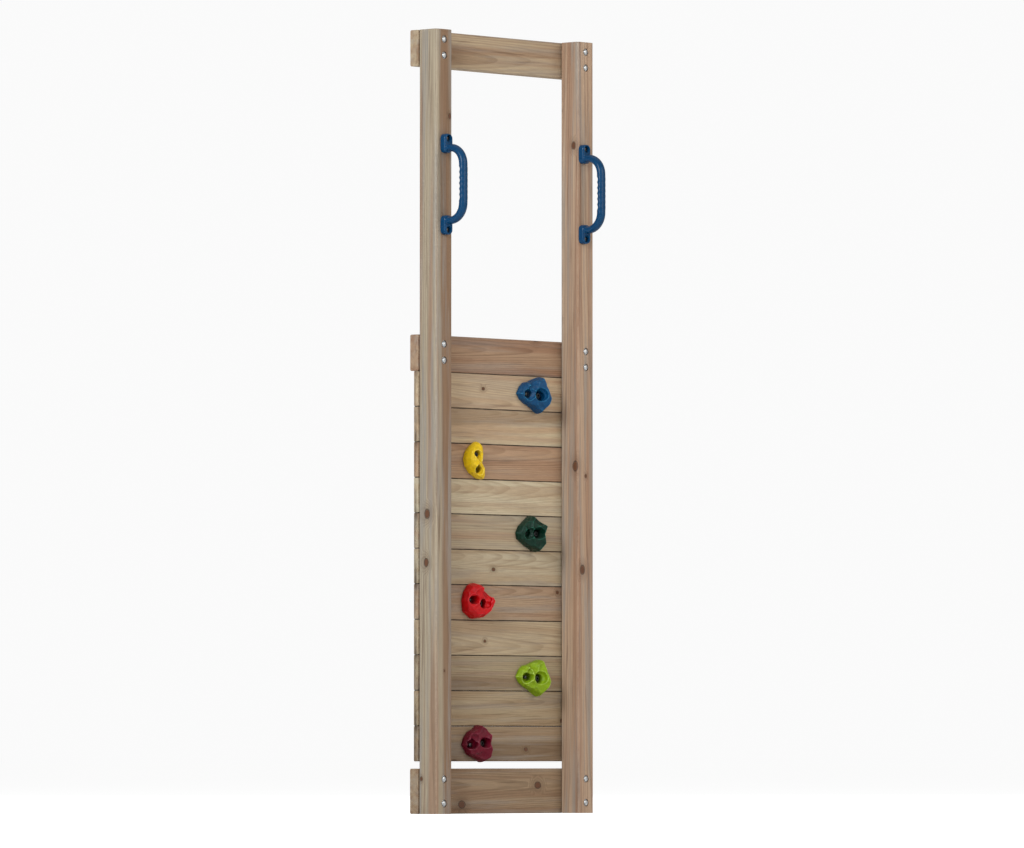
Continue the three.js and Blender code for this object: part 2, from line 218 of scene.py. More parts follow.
def peg(x, z, diameter, front, back, sides=32):
    """A round bar along Y, to cut a hole with."""
    clear_bench()
    bpy.ops.mesh.primitive_cylinder_add(
        vertices=sides,
        radius=diameter / 2,
        depth=back - front,
        location=(x, (front + back) / 2, z),
        rotation=(math.pi / 2, 0, 0),
    )
    return settle("peg")


def outward(piece):
    """Merges doubled corners and turns every face outward."""
    open_up(piece)
    bpy.ops.mesh.remove_doubles(threshold=1e-6)
    bpy.ops.mesh.normals_make_consistent(inside=False)
    return close_up(piece)


def mark(piece, name, value_at):
    """Gives a piece an attribute for its finish to read, with a value for each of its points."""
    values = piece.data.attributes.new(name, "FLOAT", "POINT").data
    for index, vertex in enumerate(piece.data.vertices):
        values[index].value = value_at(vertex.co)


def soften(piece, crease):
    """Smooth shading over every edge that turns by less than crease."""
    pick_up(piece)
    bpy.ops.object.shade_smooth_by_angle(angle=crease)
    return piece


def smooth_off(piece):
    """Smooth shading over small angles, with flats that stay flat beside their rounded edges."""
    soften(piece, FLAT_CREASE)
    return run_modifier(piece, "WEIGHTED_NORMAL", keep_sharp=True, weight=60)


def hand_over(piece, finish, slot, *nodes):
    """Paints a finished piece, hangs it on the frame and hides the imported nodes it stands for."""
    piece.data.materials.clear()
    piece.data.materials.append(finish)
    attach(piece, "root")
    if nodes:
        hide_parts(*nodes)
    return piece


def bring_in(name, data):
    """A new object in the scene, for a mesh, a lamp or a camera."""
    made = bpy.data.objects.new(name, data)
    data.name = name
    bpy.context.scene.collection.objects.link(made)
    return made


def copy_of(piece, name, shift):
    """A copy with its own mesh, moved by shift."""
    made = bring_in(name, piece.data.copy())
    made.data.transform(Matrix.Translation(shift))
    return made


def look_at(piece, aim):
    piece.rotation_euler = (aim - piece.location).to_track_quat("-Z", "Y").to_euler()


def middle(node):
    low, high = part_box(node)
    return (low + high) / 2


# ---- node helpers


class Net:
    """A node tree in the making. A node takes values, or the outputs of other nodes."""

    STEPS = {"+": "ADD", "-": "SUBTRACT", "*": "MULTIPLY", "/": "DIVIDE", "*+": "MULTIPLY_ADD"}

    def __init__(self, tree):
        self.tree = tree

    def feed(self, node, inputs):
        for key, value in inputs.items():
            if isinstance(value, bpy.types.NodeSocket):
                self.tree.links.new(value, node.inputs[key])
            else:
                node.inputs[key].default_value = value
        return node

    def put(self, kind, inputs=None, **settings):
        made = self.tree.nodes.new("ShaderNode" + kind)
        for key, value in settings.items():
            setattr(made, key, value)
        return self.feed(made, inputs or {})

    def effect(self, name, inputs):
        return self.put("Group", inputs, node_tree=EFFECTS[name]).outputs

    def math(self, operation, *values):
        """One step of arithmetic. "*+" multiplies the first two and adds the third."""
        operation = self.STEPS.get(operation, operation)
        return self.put("Math", dict(enumerate(values)), operation=operation).outputs[0]

    def vector(self, operation, *values):
        return self.put("VectorMath", dict(enumerate(values)), operation=operation).outputs[0]

    def scaled(self, vector, scale):
        return self.put("VectorMath", {0: vector, "Scale": scale}, operation="SCALE").outputs[0]

    def length(self, vector):
        return self.put("VectorMath", {0: vector}, operation="LENGTH").outputs["Value"]

    def split(self, vector):
        return self.put("SeparateXYZ", {0: vector}).outputs

    def joined(self, x, y, z=0.0):
        return self.put("CombineXYZ", {0: x, 1: y, 2: z}).outputs[0]

    def spread(self, value, low, high, to_low=0.0, to_high=1.0, curve="SMOOTHSTEP"):
        """Stretches low..high to to_low..to_high, and holds it there outside."""
        inputs = {"Value": value, "From Min": low, "From Max": high}
        inputs |= {"To Min": to_low, "To Max": to_high}
        return self.put("MapRange", inputs, interpolation_type=curve).outputs["Result"]

    def evenly(self, value, low, high, to_low, to_high):
        return self.spread(value, low, high, to_low, to_high, "LINEAR")

    def tint(self, share, under, over):
        return self.put("Mix", {0: share, 6: under, 7: over}, data_type="RGBA").outputs[2]

    def noise(self, vector, scale, detail=2.0, roughness=0.5):
        inputs = {"Vector": vector, "Scale": scale, "Detail": detail, "Roughness": roughness}
        return self.put("TexNoise", inputs).outputs[0]

    def streaks(self, vector, scales, detail, roughness=0.5):
        """Noise drawn out along the directions with small scales."""
        return self.noise(self.vector("MULTIPLY", vector, scales), 1.0, detail, roughness)

    def mark(self, name):
        return self.put("Attribute", attribute_name=name).outputs["Fac"]

    def finish_group(self, **results):
        for label in results:
            kind = "NodeSocketColor" if label == "Color" else "NodeSocketFloat"
            self.tree.interface.new_socket(label, in_out="OUTPUT", socket_type=kind)
        self.feed(self.tree.nodes.new("NodeGroupOutput"), results)
        return self.tree


def new_group(name, **sockets):
    """A node group in the making and its inputs, with the labels of each kind parted by commas."""
    tree = bpy.data.node_groups.new(name, "ShaderNodeTree")
    for kind, labels in sockets.items():
        for label in labels.split(", "):
            tree.interface.new_socket(label, in_out="INPUT", socket_type="NodeSocket" + kind)
    return Net(tree), tree.nodes.new("NodeGroupInput").outputs


def rgb(red, green, blue):
    """A colour from 0..255 display values, as the shader's linear ones."""
    return tuple((c / 255) ** 2.2 for c in (red, green, blue)) + (1.0,)


# ---- shared effects


def timber_group():
    """Softwood in a log's own coordinates: X runs along the grain and the pith is at Y = Z = 0."""
    net, given = new_group(
        "softwood",
        Vector="Vector, First Knot, Second Knot",
        Float="Ring Spacing, Ring Contrast, Knot Size, Knot Start, Streaks, Weathering, Heart Size",
        Color="Pale, Heart, Dark, Stain",
    )
    vector = given["Vector"]
    split = net.split(vector)
    across = net.math("+", split["Y"], split["Z"])

    # knots: one feature point to a cell of the face, and a size drawn for each cell
    face = net.joined(split["X"], across)
    cells = net.vector("MULTIPLY", face, (3.4, 9.5, 0.0))
    drawn = {"Vector": cells, "Scale": 1.0, "Randomness": 0.95}
    knots = net.put("TexVoronoi", drawn, voronoi_dimensions="2D").outputs
    off = net.vector("SUBTRACT", cells, knots["Position"])
    off = net.vector("MULTIPLY", off, (1 / 3.4 / 1.35, 1 / 9.5, 0.0))
    away = net.length(off)
    ragged = net.noise(vector, 260.0, 2.0)
    away = net.math("*+", net.math("-", ragged, 0.5), 2.6 * MM, away)
    drawn = net.put("SeparateColor", {0: knots["Color"]}).outputs[0]
    size = net.evenly(drawn, given["Knot Start"], 1.0, 0.0, 9.5 * MM)
    size = net.math("*", size, given["Knot Size"])
    ratio = net.math("/", away, net.math("+", size, 0.01 * MM))
    for label in ("First Knot", "Second Knot"):
        # a knot of the piece's own: its place along and across, and its size
        own = net.split(given[label])
        along = net.math("-", split["X"], own["X"])
        aside = net.math("-", across, own["Y"])
        gap = net.length(net.joined(net.math("*", along, 0.7), aside))
        gap = net.math("*+", net.math("-", ragged, 0.5), 3.5 * MM, gap)
        share = net.math("/", gap, net.math("+", own["Z"], 0.01 * MM))
        nearer = net.math("LESS_THAN", share, ratio)
        ratio = net.math("MINIMUM", share, ratio)
        size = net.put("Mix", {0: nearer, 2: size, 3: own["Z"]}, data_type="FLOAT").outputs[0]
    core = net.spread(ratio, 0.78, 1.02, 1.0, 0.0)
    bark = net.math("*", net.spread(ratio, 0.8, 1.0), net.spread(ratio, 1.0, 1.28, 1.0, 0.0))
    halo = net.spread(ratio, 1.0, 3.6, 1.0, 0.0)

    # growth rings, which bend round the knots
    bow = net.math("-", net.streaks(vector, (1.7, 13.0, 13.0), 2.5), 0.5)
    radius = net.length(net.joined(0.0, split["Y"], split["Z"]))
    radius = net.math("*+", bow, 15 * MM, radius)
    heart = net.math("/", radius, net.math("+", given["Heart Size"], 0.01 * MM))
    heart = net.spread(heart, 0.8, 1.15, 1.0, 0.0)
    radius = net.math("+", radius, net.math("*", halo, net.math("*", size, 1.7)))
    count = net.math("/", radius, given["Ring Spacing"])
    step = net.math("FRACT", count)
    late = net.spread(step, 0.25, 0.9)
    late = net.math("*", late, net.spread(step, 0.92, 1.0, 1.0, 0.0))
    year = net.put("TexWhiteNoise", {"W": net.math("FLOOR", count)}, noise_dimensions="1D").outputs[0]
    late = net.math("*", late, net.evenly(year, 0.0, 1.0, 0.35, 1.0))

    # fibres, long streaks, broad bands and cloudy patches
    fibre = net.streaks(vector, (14.0, 760.0, 760.0), 4.0, 0.68)
    streak = net.streaks(vector, (3.2, 120.0, 120.0), 3.0, 0.6)
    dark_streak = net.spread(streak, 0.55, 0.72)
    band = net.streaks(vector, (0.9, 42.0, 42.0), 2.0, 0.5)
    patch = net.streaks(vector, (1.9, 58.0, 58.0), 4.0, 0.6)
    saw = net.streaks(vector, (420.0, 16.0, 16.0), 1.0)

    colour = net.tint(net.spread(band, 0.4, 0.62), given["Pale"], given["Stain"])
    colour = net.tint(net.math("*", heart, 0.85), colour, given["Heart"])
    rings = net.math("*", late, given["Ring Contrast"])
    colour = net.tint(rings, colour, given["Dark"])
    colour = net.tint(net.math("*", dark_streak, given["Streaks"]), colour, given["Dark"])
    grey = net.math("*", net.spread(patch, 0.46, 0.66), given["Weathering"])
    colour = net.tint(grey, colour, rgb(140, 131, 122))
    colour = net.tint(net.math("*", halo, 0.35), colour, given["Dark"])
    colour = net.tint(core, colour, rgb(96, 62, 42))
    colour = net.tint(net.math("*", bark, 0.8), colour, rgb(52, 34, 26))
    lift = net.evenly(fibre, 0.25, 0.75, 0.78, 1.16)
    lift = net.math("*", lift, net.evenly(saw, 0.25, 0.75, 0.985, 1.01))
    colour = net.scaled(colour, lift)

    height = net.math("*+", fibre, 0.6, net.math("*", saw, 0.16))
    height = net.math("*+", late, 0.22, height)
    height = net.math("*+", dark_streak, -0.35, height)
    height = net.math("*+", bark, -0.9, height)
    roughness = net.evenly(fibre, 0.2, 0.8, 0.58, 0.78)
    roughness = net.math("*+", core, -0.14, roughness)
    return net.finish_group(Color=colour, Roughness=roughness, Height=height)


def rubbed_edge_group():
    """Rubbed edges, and shut joints darkened with painted shade and grime, from a piece's own "rubbed"
    attribute and its attribute that marks the board joints.
    """
    net, given = new_group("rubbed_edge", Vector="Vector", Float="Amount")
    broken = net.spread(net.noise(given["Vector"], 1 / WEAR_PATCH, 4.0, 0.65), 0.36, 0.66)
    mask = net.math("*", net.spread(net.mark("rubbed"), 0.15, 0.95), broken)
    mask = net.math("*", mask, given["Amount"])
    # the board joints: painted shade of the groove, with grime, broken up by noise
    joint_grime_and_shade_noise = net.noise(given["Vector"], 30.0, 3.0)
    edge = net.spread(net.mark("joint_shade_and_grime"), 0.3, 0.8)
    joint_shade_and_grime = net.math("*", edge, net.spread(joint_grime_and_shade_noise, 0.3, 0.6, 0.7, 1.0))
    return net.finish_group(Mask=mask, Seam=joint_shade_and_grime)


def dust_group():
    """A thin film of dust that lies on faces that look up."""
    net, given = new_group("dust_film", Vector="Vector", Float="Amount")
    normal = net.put("NewGeometry").outputs["Normal"]
    up = net.spread(net.split(normal)["Z"], 0.35, 0.95)
    broken = net.spread(net.noise(given["Vector"], 90.0, 4.0, 0.7), 0.3, 0.7, 0.35, 1.0)
    mask = net.math("*", net.math("*", up, broken), given["Amount"])
    return net.finish_group(Mask=mask)


def moulded_group():
    """Moulded plastic: a fine grain, broader mottling, crests rubbed paler and given a painted
    highlight, and hollows darkened with painted shade.
    """
    net, given = new_group(
        "moulded_plastic",
        Vector="Vector",
        Float="Grain Size, Grain, Mottle, Rub, Dust",
        Color="Base, Rubbed, Hollow",
    )
    vector = given["Vector"]
    scale = net.math("/", 1.0, given["Grain Size"])
    fine = net.noise(vector, scale, 3.0, 0.65)
    pits = net.put("TexVoronoi", {"Vector": vector, "Scale": scale}).outputs["Distance"]
    broad = net.noise(vector, 85.0, 4.0, 0.6)
    grain = net.math("*+", fine, 0.7, net.math("*", pits, 0.45))
    height = net.math("*", grain, given["Grain"])
    height = net.math("*+", broad, 0.8, height)
    pointed = net.put("NewGeometry").outputs["Pointiness"]
    # crests: paler from rubbing, and a painted highlight
    crest = net.spread(pointed, 0.505, 0.56)
    crest = net.math("*", crest, net.spread(broad, 0.3, 0.65, 0.45, 1.0))
    # hollows and recesses: painted shade, darker where the skin curves in and down each recess
    hollow = net.spread(pointed, 0.42, 0.495, 0.6, 0.0)
    hollow = net.math("MAXIMUM", hollow, net.mark("deep"))
    colour = net.tint(net.math("*", crest, given["Rub"]), given["Base"], given["Rubbed"])
    colour = net.tint(hollow, colour, given["Hollow"])
    shade = net.math("-", broad, 0.5)
    shade = net.math("*+", shade, given["Mottle"], 1.0)
    shade = net.math("*", shade, net.evenly(fine, 0.25, 0.75, 0.9, 1.1))
    colour = net.scaled(colour, shade)
    film = net.effect("dust", {"Vector": vector, "Amount": given["Dust"]})["Mask"]
    colour = net.tint(film, colour, rgb(196, 188, 176))
    roughness = net.evenly(broad, 0.3, 0.7, -0.06, 0.08)
    roughness = net.math("*+", crest, -0.08, roughness)
    roughness = net.math("*+", film, 0.3, roughness)
    return net.finish_group(Color=colour, Roughness=roughness, Height=height)


def zinc_group():
    """Bright zinc plating with a faint spangle, handling marks and dull patches."""
    net, given = new_group("zinc_plating", Vector="Vector", Float="Dullness", Color="Base, Dull")
    vector = given["Vector"]
    cells = net.put("TexVoronoi", {"Vector": vector, "Scale": 420.0}).outputs["Color"]
    spangle = net.put("SeparateColor", {0: cells}).outputs[0]
    cloud = net.noise(vector, 260.0, 4.0, 0.65)
    scratch = net.streaks(vector, (2600.0, 2600.0, 300.0), 2.0)
    dull = net.math("*", net.spread(cloud, 0.42, 0.72), given["Dullness"])
    colour = net.tint(dull, given["Base"], given["Dull"])
    lift = net.evenly(spangle, 0.0, 1.0, 0.93, 1.05)
    colour = net.scaled(colour, lift)
    roughness = net.evenly(cloud, 0.3, 0.7, 0.24, 0.46)
    roughness = net.math("*+", scratch, 0.1, roughness)
    height = net.math("*+", scratch, 0.6, net.math("*", cloud, 0.7))
    return net.finish_group(Color=colour, Roughness=roughness, Height=height)


EFFECTS = {"dust": dust_group()}
EFFECTS["timber"] = timber_group()
EFFECTS["rubbed"] = rubbed_edge_group()
EFFECTS["moulded"] = moulded_group()
EFFECTS["zinc"] = zinc_group()


# ---- finishes


def new_finish(name):
    """A material in the making, as (material, net, object coordinates)."""
    material = bpy.data.materials.new(name)
    material.use_nodes = True
    net = Net(material.node_tree)
    return material, net, net.put("TexCoord").outputs["Object"]


def dress(net, colour, roughness, height, depth, strength, constants):
    """Feeds a material's shader, and sets its constants on its own sockets."""
    bump = net.put("Bump", {"Strength": strength, "Distance": depth, "Height": height}).outputs[0]
    inputs = {"Base Color": colour, "Roughness": roughness, "Normal": bump, **constants}
    net.feed(net.tree.nodes["Principled BSDF"], inputs)


def timber_finish(name, piece_middle, grain, pith, lean, along, looks, knots=()):
    """Wood of one piece. The pith lies off the piece's middle by pith, and leans by lean degrees."""
    material, net, place = new_finish(name)
    centred = net.vector("SUBTRACT", place, tuple(piece_middle))
    turn = (0.0, math.pi / 2, 0.0) if grain == "Z" else (0.0, 0.0, 0.0)
    turned = net.put("Mapping", {"Vector": centred, "Rotation": turn}).outputs[0]
    leaning = (0.0, math.radians(lean[0]), math.radians(lean[1]))
    looks = dict(looks)
    for label, (x, y, z, size) in zip(("First Knot", "Second Knot"), knots):
        spot = Euler(turn).to_matrix() @ (Vector((x, y, z)) - piece_middle)
        spot = Euler(leaning).to_matrix() @ spot + Vector((along, *pith))
        looks[label] = (spot.x, spot.y + spot.z, size * MM)
    inputs = {"Vector": turned, "Rotation": leaning, "Location": (along, *pith)}
    log = net.put("Mapping", inputs).outputs[0]
    wood = net.effect("timber", {"Vector": log, **looks})
    edges = net.effect("rubbed", {"Vector": place, "Amount": 0.2})
    dust = net.effect("dust", {"Vector": place, "Amount": 0.2})["Mask"]
    colour = net.tint(edges["Mask"], wood["Color"], rgb(188, 172, 150))
    # the board joints darkened: painted shade of the groove, and grime
    colour = net.tint(edges["Seam"], colour, rgb(52, 40, 31))
    colour = net.tint(dust, colour, rgb(170, 162, 150))
    roughness = net.math("*+", dust, 0.2, wood["Roughness"])
    dress(net, colour, roughness, wood["Height"], 0.5 * MM, 0.75, {"Specular IOR Level": 0.35})
    return material


def plastic_finish(name, base, rubbed, roughness, looks, bump):
    material, net, place = new_finish(name)
    # the colour of the painted shade in the hollows and recesses
    hollow = tuple(0.28 * c for c in base[:3]) + (1.0,)
    looks = {"Vector": place, "Base": base, "Rubbed": rubbed, "Hollow": hollow, **looks}
    skin = net.effect("moulded", looks)
    roughness = net.math("+", skin["Roughness"], roughness)
    dress(net, skin["Color"], roughness, skin["Height"], *bump, {"Specular IOR Level": 0.22})
    return material


def zinc_finish(name, base, dull, dullness):
    material, net, place = new_finish(name)
    looks = {"Vector": place, "Dullness": dullness, "Base": base, "Dull": dull}
    plating = net.effect("zinc", looks)
    height = plating["Height"]
    dress(net, plating["Color"], plating["Roughness"], height, 0.12 * MM, 0.5, {"Metallic": 1.0})
    return material


def wood_looks(
    pale, dark, stain, spacing, contrast, knots=1.0, streaks=0.4, weathering=0.3, heart=None, start=0.45
):
    heart_size, heart_colour = heart or (0, pale)
    return {
        "Heart Size": heart_size * MM,
        "Heart": rgb(*heart_colour),
        "Ring Spacing": spacing * MM,
        "Ring Contrast": contrast,
        "Knot Size": knots,
        "Knot Start": start,
        "Streaks": streaks,
        "Weathering": weathering,
        "Pale": rgb(*pale),
        "Dark": rgb(*dark),
        "Stain": rgb(*stain),
    }


# ---- timber


def timber(name, node, grain, edge, bends=None, swell=0.0):
    """A squared timber in the box of its node: edges rounded along the grain, ends just eased.

    grain is 0 for X or 2 for Z. bends gives, at a share along the piece, how far it moves and how
    much it turns about its own length. swell makes it this much taller, up and down.
    """
    low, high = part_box(node)
    low.z -= swell
    high.z += swell
    clear_bench()
    bpy.ops.mesh.primitive_cube_add(size=1, location=(low + high) / 2)
    bpy.context.object.scale = high - low
    piece = settle(name)
    others = [axis for axis in range(3) if axis != grain]

    def runs_along(part):
        run = part.verts[1].co - part.verts[0].co
        return abs(run[grain]) > 0.5 * run.length

    def at_end(part):
        ends = (low[grain], high[grain])
        return any(all(abs(v.co[grain] - end) < 1e-6 for v in part.verts) for end in ends)

    open_up(piece)
    round_off(piece, runs_along, edge, EDGE_STEPS)
    round_off(piece, at_end, SAWN_END_EDGE, 2)
    choose(piece, "EDGE", lambda part: part.calc_length() > 0.5 * (high[grain] - low[grain]))
    bpy.ops.mesh.subdivide(number_cuts=TIMBER_CUTS)
    close_up(piece)

    def depth(place, axis):
        return min(place[axis] - low[axis], high[axis] - place[axis])

    most = edge * (1 - math.cos(math.pi / 4))
    mark(piece, "rubbed", lambda place: min(1.0, min(depth(place, axis) for axis in others) / most))
    if swell:
        # the board's shut edges, where painted shade and grime darken the joints
        mark(piece, "joint_shade_and_grime", lambda place: max(0.0, 1 - depth(place, 2) / edge))

    if bends:
        bpy.ops.object.mode_set(mode="EDIT")
        length = high[grain] - low[grain]
        reach = 0.4 * length / (TIMBER_CUTS + 1)
        for step in range(1, TIMBER_CUTS + 1):
            share = step / (TIMBER_CUTS + 1)
            place = low[grain] + share * length
            choose(piece, "VERT", lambda part: abs(part.co[grain] - place) < reach)
            push, turn = bends(share)
            bpy.ops.transform.translate(value=push)
            hub = (low + high) / 2
            hub[grain] = place
            axis = "XYZ"[grain]
            bpy.ops.transform.rotate(value=turn, orient_axis=axis, center_override=hub)
        bpy.ops.object.mode_set(mode="OBJECT")
    return piece


def shank_hole(fixing, shank, front, back):
    """A cutter for the hole that a bolt's or screw's shank passes through."""
    x, _, z = middle(fixing)
    return peg(x, z, shank + SHANK_GAP, front - CUT_PAST, back + CUT_PAST, 24)


draw = random.Random(411)

FRAME_BOLTS = [
    f"{rail}_bolt_{side}_{level}"
    for rail in ("base", "deck", "head")
    for side in SIDES
    for level in LEVELS
]

POST_LOOKS = {
    "left": wood_looks(
        (160, 144, 122), (98, 74, 56), (148, 120, 98), 4.2, 0.42, 1.1, 0.6, 0.75, (34, (128, 98, 74))
    ),
    "right": wood_looks(
        (176, 147, 122), (102, 74, 56), (156, 122, 98), 3.8, 0.45, 1.25, 0.65, 0.7, (16, (132, 102, 80))
    ),
}
# knots of their own: x, y, z in metres and size in millimetres
POST_KNOTS = {
    "left": [(-0.243, -0.013, 1.725, 4.5), (-0.292, 0.02, 0.62, 7)],
    "right": [(0.232, -0.004, 0.871, 8.5), (0.232, 0.002, 1.678, 6.5)],
}
POST_PITH = {"left": (26 * MM, 22 * MM), "right": (-38 * MM, 26 * MM)}

for side in SIDES:
    node = f"{side}_post"
    low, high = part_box(node)
    post = timber(node + "_timber", node, 2, POST_EDGE)
    for bolt in FRAME_BOLTS:
        if f"_{side}_" in bolt:
            x, _, z = middle(bolt)
            cut(post, peg(x, z, WASHER_HOLE, low.y - CUT_PAST, low.y + WASHER_HOLE_DEPTH))
            cut(post, shank_hole(bolt, FRAME_SHANK, low.y, high.y))
    for level in LEVELS:
        screw = f"handle_{side}_screw_{level}"
        cut(post, shank_hole(screw, HANDLE_SHANK, low.y, low.y + HANDLE_HOLE))
    smooth_off(post)
    finish = timber_finish(
        f"{side}_post_wood",
        middle(node),
        "Z",
        POST_PITH[side],
        (0.35, 0.5),
        draw.uniform(0, 9),
        POST_LOOKS[side],
        POST_KNOTS[side],
    )
    hand_over(post, finish, "post_wood", node)

RAIL_LOOKS = {
    "base": wood_looks((148, 124, 98), (92, 68, 50), (134, 106, 82), 4.0, 0.42, 1.0, 0.5, 0.4),
    "deck": wood_looks((158, 128, 102), (100, 68, 50), (144, 110, 86), 4.4, 0.45, 1.0, 0.5, 0.35),
    "head": wood_looks(
        (172, 150, 122), (104, 76, 56), (154, 126, 100), 4.1, 0.42, 1.0, 0.55, 0.4, (44, (124, 92, 66))
    ),
}

for rail, looks in RAIL_LOOKS.items():
    node = f"{rail}_rail"
    low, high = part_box(node)
    piece = timber(node + "_timber", node, 0, RAIL_EDGE)
    for bolt in FRAME_BOLTS:
        if bolt.startswith(rail):
            cut(piece, shank_hole(bolt, FRAME_SHANK, low.y, high.y))
    smooth_off(piece)
    pith = (draw.uniform(30, 60) * MM, draw.uniform(-30, 30) * MM)
    finish = timber_finish(
        f"{rail}_rail_wood", middle(node), "X", pith, (0.6, 1.4), draw.uniform(0, 9), looks
    )
    hand_over(piece, finish, "rail_wood", node)

# from the top board down: pale wood, dark wood, stain, ring spacing, ring contrast
BOARD_LOOKS = [
    ((184, 160, 130), (122, 92, 66), (170, 138, 110), 3.6, 0.42),
    ((188, 170, 140), (128, 100, 72), (178, 150, 120), 3.1, 0.36),
    ((168, 136, 108), (106, 76, 54), (158, 124, 98), 3.9, 0.46),
    ((190, 174, 146), (132, 104, 78), (176, 154, 126), 3.3, 0.36),
    ((168, 150, 124), (110, 88, 64), (160, 132, 106), 4.2, 0.42),
    ((176, 160, 134), (118, 96, 70), (166, 144, 116), 3.0, 0.38),
    ((162, 136, 110), (106, 78, 56), (148, 118, 94), 3.7, 0.46),
    ((172, 152, 124), (114, 90, 64), (160, 136, 108), 3.4, 0.38),
    ((156, 138, 110), (102, 80, 56), (148, 122, 96), 4.0, 0.42),
    ((160, 140, 112), (106, 84, 60), (148, 124, 96), 3.2, 0.42),
    ((150, 128, 102), (98, 74, 52), (140, 114, 88), 3.8, 0.44),
]


def board_bends(bow, turn):
    """A board held flat at both ends: its middle bows, and its faces turn a little."""

    def bend(share):
        swell = math.sin(math.pi * share)
        return (0.0, bow * swell, 0.0), turn * swell

    return bend


for index, node in enumerate(BOARDS):
    low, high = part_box(node)
    held = any(low.z < middle(f"hold_{colour}_bolt").z < high.z for colour in COLOURS)
    bow = draw.uniform(-0.7, 0.7) * MM * (0.0 if held else 1.0)
    turn = math.radians(draw.uniform(-0.7, 0.7)) * (0.3 if held else 1.0)
    board = timber(f"{node}_timber", node, 0, BOARD_EDGE, board_bends(bow, turn), BOARD_SWELL)
    for colour in COLOURS:
        for kind, shank in (("bolt", TEE_BARREL), ("pin_screw", PIN_SHANK)):
            fixing = f"hold_{colour}_{kind}"
            if low.z < middle(fixing).z < high.z:
                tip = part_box(fixing)[1].y
                back = high.y if tip > high.y else tip - PIN_HOLE_SHORT
                cut(board, shank_hole(fixing, shank, low.y, back))
    smooth_off(board)
    pale, dark, stain, spacing, contrast = BOARD_LOOKS[index]
    heart = (draw.choice((0, 0, 26, 34)), tuple(0.84 * c for c in stain))
    knots = draw.uniform(0.7, 1.0)
    weathering = draw.uniform(0.15, 0.45)
    looks = wood_looks(pale, dark, stain, spacing, contrast, knots, 0.5, weathering, heart, 0.72)
    pith = (draw.uniform(25, 70) * MM, draw.uniform(-45, 45) * MM)
    lean = (draw.uniform(-1.5, 1.5), draw.uniform(0.6, 2.6))
    name = f"board_wood_{index + 1:02d}"
    finish = timber_finish(name, middle(node), "X", pith, lean, draw.uniform(0, 40), looks)
    hand_over(board, finish, "board_wood", node)


# ---- fixings

bright_zinc = zinc_finish("bright_zinc", (0.6, 0.61, 0.62, 1), (0.26, 0.27, 0.28, 1), 0.6)
# near-black zinc for the fixings in the recesses: a black finish, darkened further as painted shade of
# the recesses
black_zinc_and_recess_shade = zinc_finish("black_zinc_and_recess_shade", (0.09, 0.09, 0.09, 1), (0.04, 0.04, 0.04, 1), 0.8)
dull_zinc = zinc_finish("dull_zinc", (0.5, 0.49, 0.45, 1), (0.24, 0.23, 0.21, 1), 0.7)


def turned(name, x, z, steps, sides):
    """A round piece along Y: a disc drawn back through steps of (y, radius)."""
    clear_bench()
    y, radius = steps[0]
    bpy.ops.mesh.primitive_circle_add(
        vertices=sides,
        radius=radius,
        fill_type="NGON",
        location=(x, y, z),
        rotation=(math.pi / 2, 0, 0),
    )
    piece = settle(name)
    bpy.ops.object.mode_set(mode="EDIT")
    bpy.ops.mesh.select_mode(type="FACE")
    bpy.ops.mesh.select_all(action="SELECT")
    for next_y, next_radius in steps[1:]:
        bpy.ops.mesh.extrude_region_move(TRANSFORM_OT_translate={"value": (0, next_y - y, 0)})
        change = next_radius / radius
        bpy.ops.transform.resize(value=(change, 1, change), center_override=(x, next_y, z))
        y, radius = next_y, next_radius
    bpy.ops.object.mode_set(mode="OBJECT")
    return outward(piece)


def dome_steps(y, radius, height, steps=7, rim=0.9 * MM):
    """The steps of a domed head that starts at its crown at y."""
    found = [(y, radius * 0.12)]
    for step in range(1, steps + 1):
        turn = math.pi / 2 * step / steps
        down = (height - rim) * (1 - math.cos(turn))
        found.append((y + down, radius * (0.12 + 0.88 * math.sin(turn))))
    found.append((y + height, radius))
    return found


def thread_steps(start, end, radius, pitch=THREAD_PITCH):
    """Ridges and grooves between two places along a shank."""
    found = []
    for turn in range(max(1, int((end - start) / pitch))):
        found.append((start + (turn + 0.25) * pitch, radius * 0.86))
        found.append((start + (turn + 0.75) * pitch, radius))
    return found


def hexagon(x, z, across, front, back):
    """A six-sided bar along Y, this wide across its flats."""
    return peg(x, z, across / math.cos(math.pi / 6), front, back, 6)


def joined(piece, *others):
    pick_up(piece)
    for other in others:
        other.select_set(True)
    bpy.ops.object.join()
    return piece


def chamfered(name, x, z, front, back, rim, body, bevel, sides):
    """A turned disc of radius body whose edges are cut back to radius rim over bevel."""
    steps = [(front, rim), (front + bevel, body), (back - bevel, body), (back, rim)]
    return turned(name, x, z, steps, sides)


def washer(x, z, front, diameter, thickness):
    lip = 0.25 * MM
    radius = diameter / 2
    return chamfered("washer", x, z, front, front + thickness, radius - lip, radius, lip, 40)


def nut(x, z, front, across, height):
    """A hexagon nut with both rims chamfered by a turned ring."""
    blank = hexagon(x, z, across, front, front + height)
    reach = across / 2 / math.cos(math.pi / 6)
    rim = across / 2 * 0.98
    ring = chamfered("ring", x, z, front, front + height, rim, reach * 1.01, 0.55 * MM, 48)
    open_up(combine(blank, ring, "INTERSECT"))
    bpy.ops.mesh.dissolve_degenerate(threshold=0.01 * MM)
    bpy.ops.mesh.delete_loose(use_verts=True, use_edges=True, use_faces=False)
    return close_up(blank)


